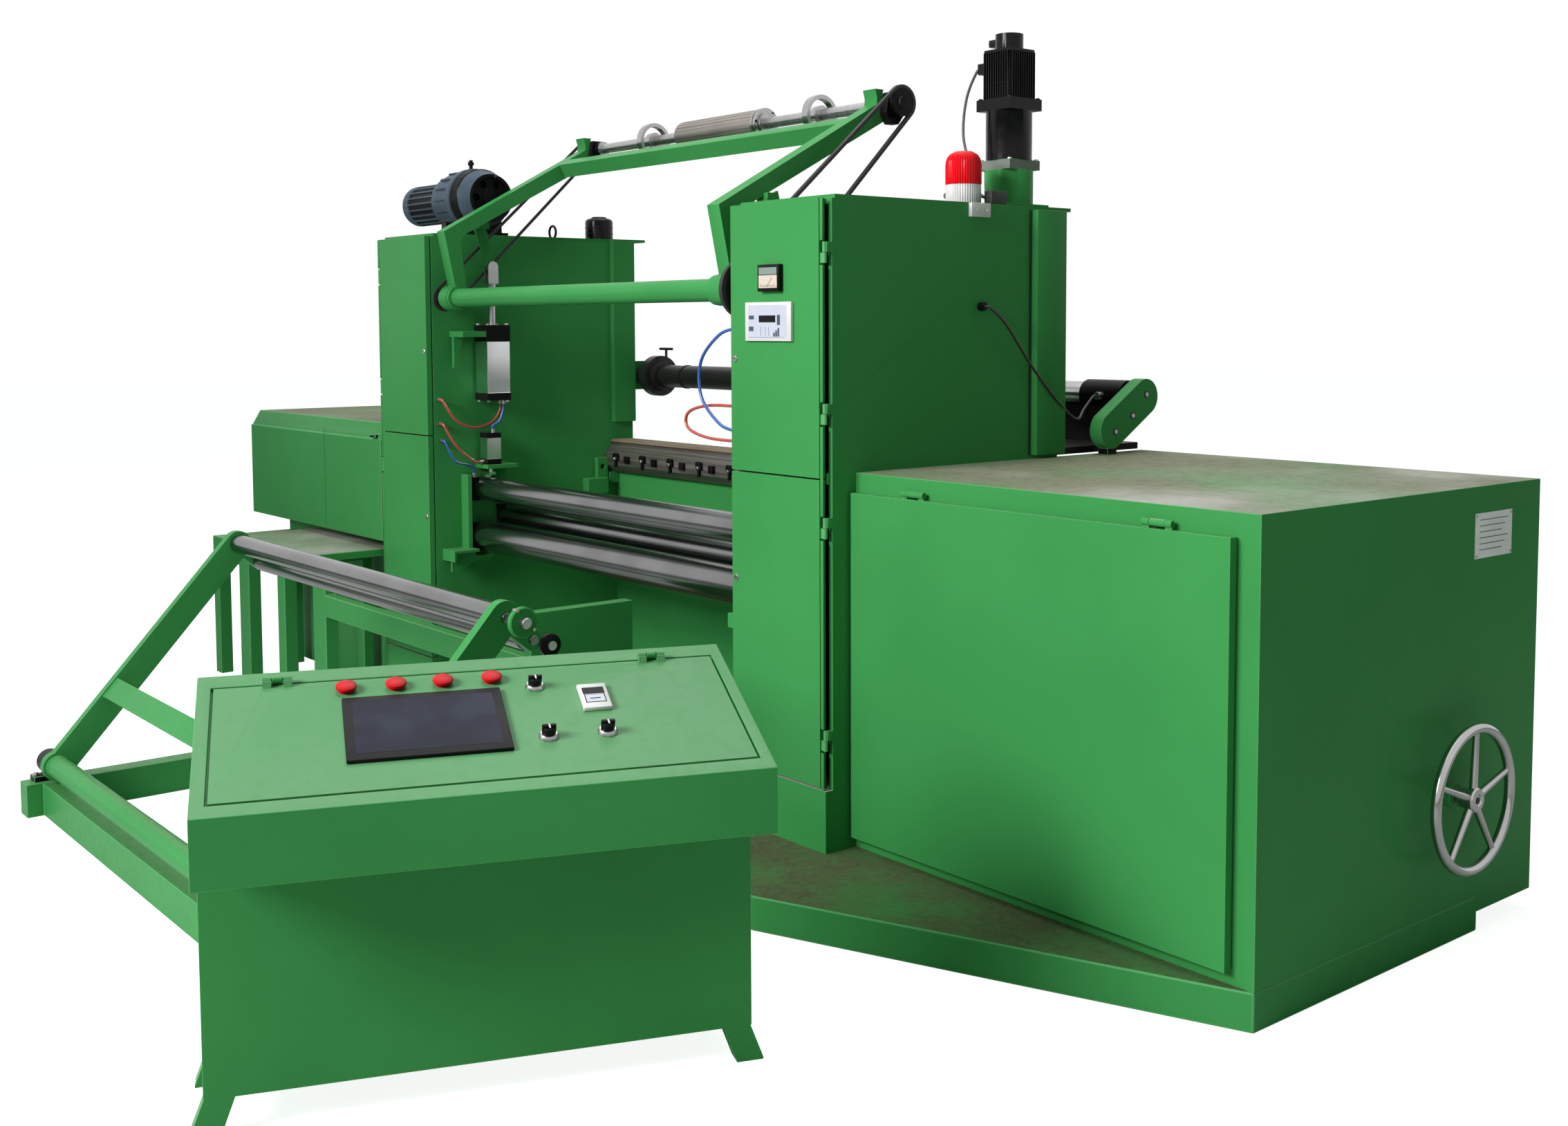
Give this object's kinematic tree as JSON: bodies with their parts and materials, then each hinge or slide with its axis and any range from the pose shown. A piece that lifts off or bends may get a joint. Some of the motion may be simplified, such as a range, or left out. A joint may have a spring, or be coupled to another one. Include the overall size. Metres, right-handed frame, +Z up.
{
  "type": "rubber sheet making machine",
  "caption": "Floor-standing machine that rolls, cuts and winds rubber sheet, with side frames, roll stack, swing winder, cabinets, guide stand and console.",
  "frame": {"origin": "midway between the side frames' inner faces, in the plane of the frame doors' fronts, on the ground", "axes": "+X along the rolls towards the large drive cabinet, +Y from the front of the frames to the back, +Z up"},
  "size_m": [5.175, 3.001, 2.255],
  "materials": {
    "green_enamel": "glossy apple green enamel",
    "dusty_enamel": "dusty beige film over enamel",
    "controller_plastic": "pale and black plastic instruments",
    "knife_steel": "worn steel",
    "black_steel": "black enamel",
    "chrome": "polished",
    "belt_rubber": "matt black rubber",
    "pulley_iron": "machined iron",
    "cylinder_alu": "clear anodised tube with black caps",
    "motor_grey": "blue-grey enamel",
    "white_plastic": "white plastic; buttons red, knobs black",
    "red_lens": "red moulded lens",
    "screen_bezel": "dark bezel",
    "red_hose": "red polyurethane tube",
    "blue_hose": "blue polyurethane tube",
    "cable_black": "black sheath"
  },
  "bodies": {
    "machine": {"base_plinth": "green_enamel", "left_frame": "green_enamel", "right_frame": "green_enamel", "top_plates": "green_enamel", "right_cabinet": "green_enamel", "left_cabinet": "green_enamel", "rear_panel": "green_enamel", "knife_beam": "knife_steel", "roll_bearings": "black_steel", "wall_brackets": "green_enamel", "lift_cylinders": "cylinder_alu", "press_cylinders": "cylinder_alu", "gearmotor": "motor_grey", "motor_brackets": "black_steel", "servo_stand": "green_enamel", "servo_motor": "black_steel", "jack_cover": "black_steel", "beacon_base": "white_plastic", "beacon_lens": "red_lens", "rear_motor": "black_steel", "belt_guard": "green_enamel", "console_body": "green_enamel", "console_hood": "green_enamel", "stand_floor_frame": "green_enamel", "feed_frame": "green_enamel", "feed_table": "dusty_enamel", "hose_fittings": "cylinder_alu", "hose_left_a": "red_hose", "hose_left_b": "blue_hose", "hose_left_c": "red_hose", "hose_left_d": "blue_hose", "hose_right_a": "blue_hose", "hose_right_b": "red_hose", "servo_cable": "cable_black", "beacon_cable": "cable_black", "motor_cable": "cable_black"},
    "left_upper_door": {"left_upper_door": "green_enamel"},
    "left_lower_door": {"left_lower_door": "green_enamel"},
    "right_upper_door": {"right_upper_door": "green_enamel", "door_instruments": "controller_plastic"},
    "right_lower_door": {"right_lower_door": "green_enamel"},
    "cabinet_panel": {"cabinet_panel": "green_enamel"},
    "spindle": {"spindle": "black_steel"},
    "upper_roll": {"upper_roll": "chrome"},
    "middle_roll": {"middle_roll": "chrome"},
    "lower_roll": {"lower_roll": "chrome"},
    "swing_frame": {"swing_frame": "green_enamel", "winding_bearings": "black_steel", "belts": "belt_rubber"},
    "winding_shaft": {"winding_shaft": "chrome"},
    "left_pulley": {"left_pulley": "pulley_iron"},
    "right_pulley": {"right_pulley": "pulley_iron"},
    "lift_rods": {"lift_rods": "chrome"},
    "handwheel": {"handwheel": "chrome"},
    "console_lid": {"console_lid": "green_enamel", "touch_screen": "screen_bezel", "console_controls": "white_plastic"},
    "stand_arms": {"stand_arms": "green_enamel"},
    "stand_upper_roll": {"stand_upper_roll": "chrome"},
    "stand_lower_roll": {"stand_lower_roll": "chrome"}
  },
  "joints": [
    {"name": "left_upper_door_hinge", "type": "hinge", "parent": "machine", "child": "left_upper_door", "pos_m": [-1.282, 0.008, 1.4], "axis": [0, 0, -1], "range_deg": [0, 90]},
    {"name": "left_lower_door_hinge", "type": "hinge", "parent": "machine", "child": "left_lower_door", "pos_m": [-1.282, 0.008, 0.65], "axis": [0, 0, -1], "range_deg": [0, 30]},
    {"name": "right_upper_door_hinge", "type": "hinge", "parent": "machine", "child": "right_upper_door", "pos_m": [1.282, 0.008, 1.4], "axis": [0, 0, 1], "range_deg": [0, 90]},
    {"name": "right_lower_door_hinge", "type": "hinge", "parent": "machine", "child": "right_lower_door", "pos_m": [1.282, 0.008, 0.65], "axis": [0, 0, 1], "range_deg": [0, 90]},
    {"name": "cabinet_panel_hinge", "type": "hinge", "parent": "machine", "child": "cabinet_panel", "pos_m": [1.9, 0.088, 1.024], "axis": [-1, 0, 0], "range_deg": [0, 45]},
    {"name": "spindle_spin", "type": "hinge", "parent": "machine", "child": "spindle", "pos_m": [0, 0.92, 1.245], "axis": [1, 0, 0], "continuous": true},
    {"name": "upper_roll_spin", "type": "hinge", "parent": "machine", "child": "upper_roll", "pos_m": [0, 0.205, 0.85], "axis": [1, 0, 0], "continuous": true},
    {"name": "middle_roll_spin", "type": "hinge", "parent": "machine", "child": "middle_roll", "pos_m": [0, 0.312, 0.745], "axis": [1, 0, 0], "continuous": true},
    {"name": "lower_roll_spin", "type": "hinge", "parent": "machine", "child": "lower_roll", "pos_m": [0, 0.205, 0.68], "axis": [1, 0, 0], "continuous": true},
    {"name": "swing_frame_tilt", "type": "hinge", "parent": "machine", "child": "swing_frame", "pos_m": [0, 0.06, 1.537], "axis": [1, 0, 0], "range_deg": [-20, 12]},
    {"name": "winding_shaft_spin", "type": "hinge", "parent": "swing_frame", "child": "winding_shaft", "pos_m": [0, 0.645, 2.088], "axis": [1, 0, 0], "continuous": true},
    {"name": "right_pulley_spin", "type": "hinge", "parent": "swing_frame", "child": "right_pulley", "pos_m": [0.879, 0.06, 1.537], "axis": [1, 0, 0], "continuous": true},
    {"name": "left_pulley_spin", "type": "hinge", "parent": "swing_frame", "child": "left_pulley", "pos_m": [-0.879, 0.06, 1.537], "axis": [1, 0, 0], "continuous": true},
    {"name": "lift_rod_slide", "type": "slide", "parent": "machine", "child": "lift_rods", "axis": [0, 0, 1], "range_m": [-0.07, 0.045]},
    {"name": "handwheel_spin", "type": "hinge", "parent": "machine", "child": "handwheel", "pos_m": [2.55, 0.839, 0.36], "axis": [1, 0, 0], "continuous": true},
    {"name": "console_lid_hinge", "type": "hinge", "parent": "machine", "child": "console_lid", "pos_m": [1.37406, -1.60958, 0.77303], "axis": [-0.3697, -0.9291, 0], "range_deg": [0, 75]},
    {"name": "stand_arms_tilt", "type": "hinge", "parent": "machine", "child": "stand_arms", "pos_m": [0, -1.34, 0.148], "axis": [1, 0, 0], "range_deg": [-12, 8]},
    {"name": "stand_upper_roll_spin", "type": "hinge", "parent": "stand_arms", "child": "stand_upper_roll", "pos_m": [0.2, -0.786, 0.76], "axis": [1, 0, 0], "continuous": true},
    {"name": "stand_lower_roll_spin", "type": "hinge", "parent": "stand_arms", "child": "stand_lower_roll", "pos_m": [0.2, -0.714, 0.698], "axis": [1, 0, 0], "continuous": true}
  ],
  "couplings": [
    {"joint": "lift_rod_slide", "follows": "swing_frame_tilt", "m_per_rad": 0.172},
    {"joint": "right_pulley_spin", "follows": "winding_shaft_spin", "ratio": 0.5857},
    {"joint": "left_pulley_spin", "follows": "winding_shaft_spin", "ratio": 0.7222}
  ]
}
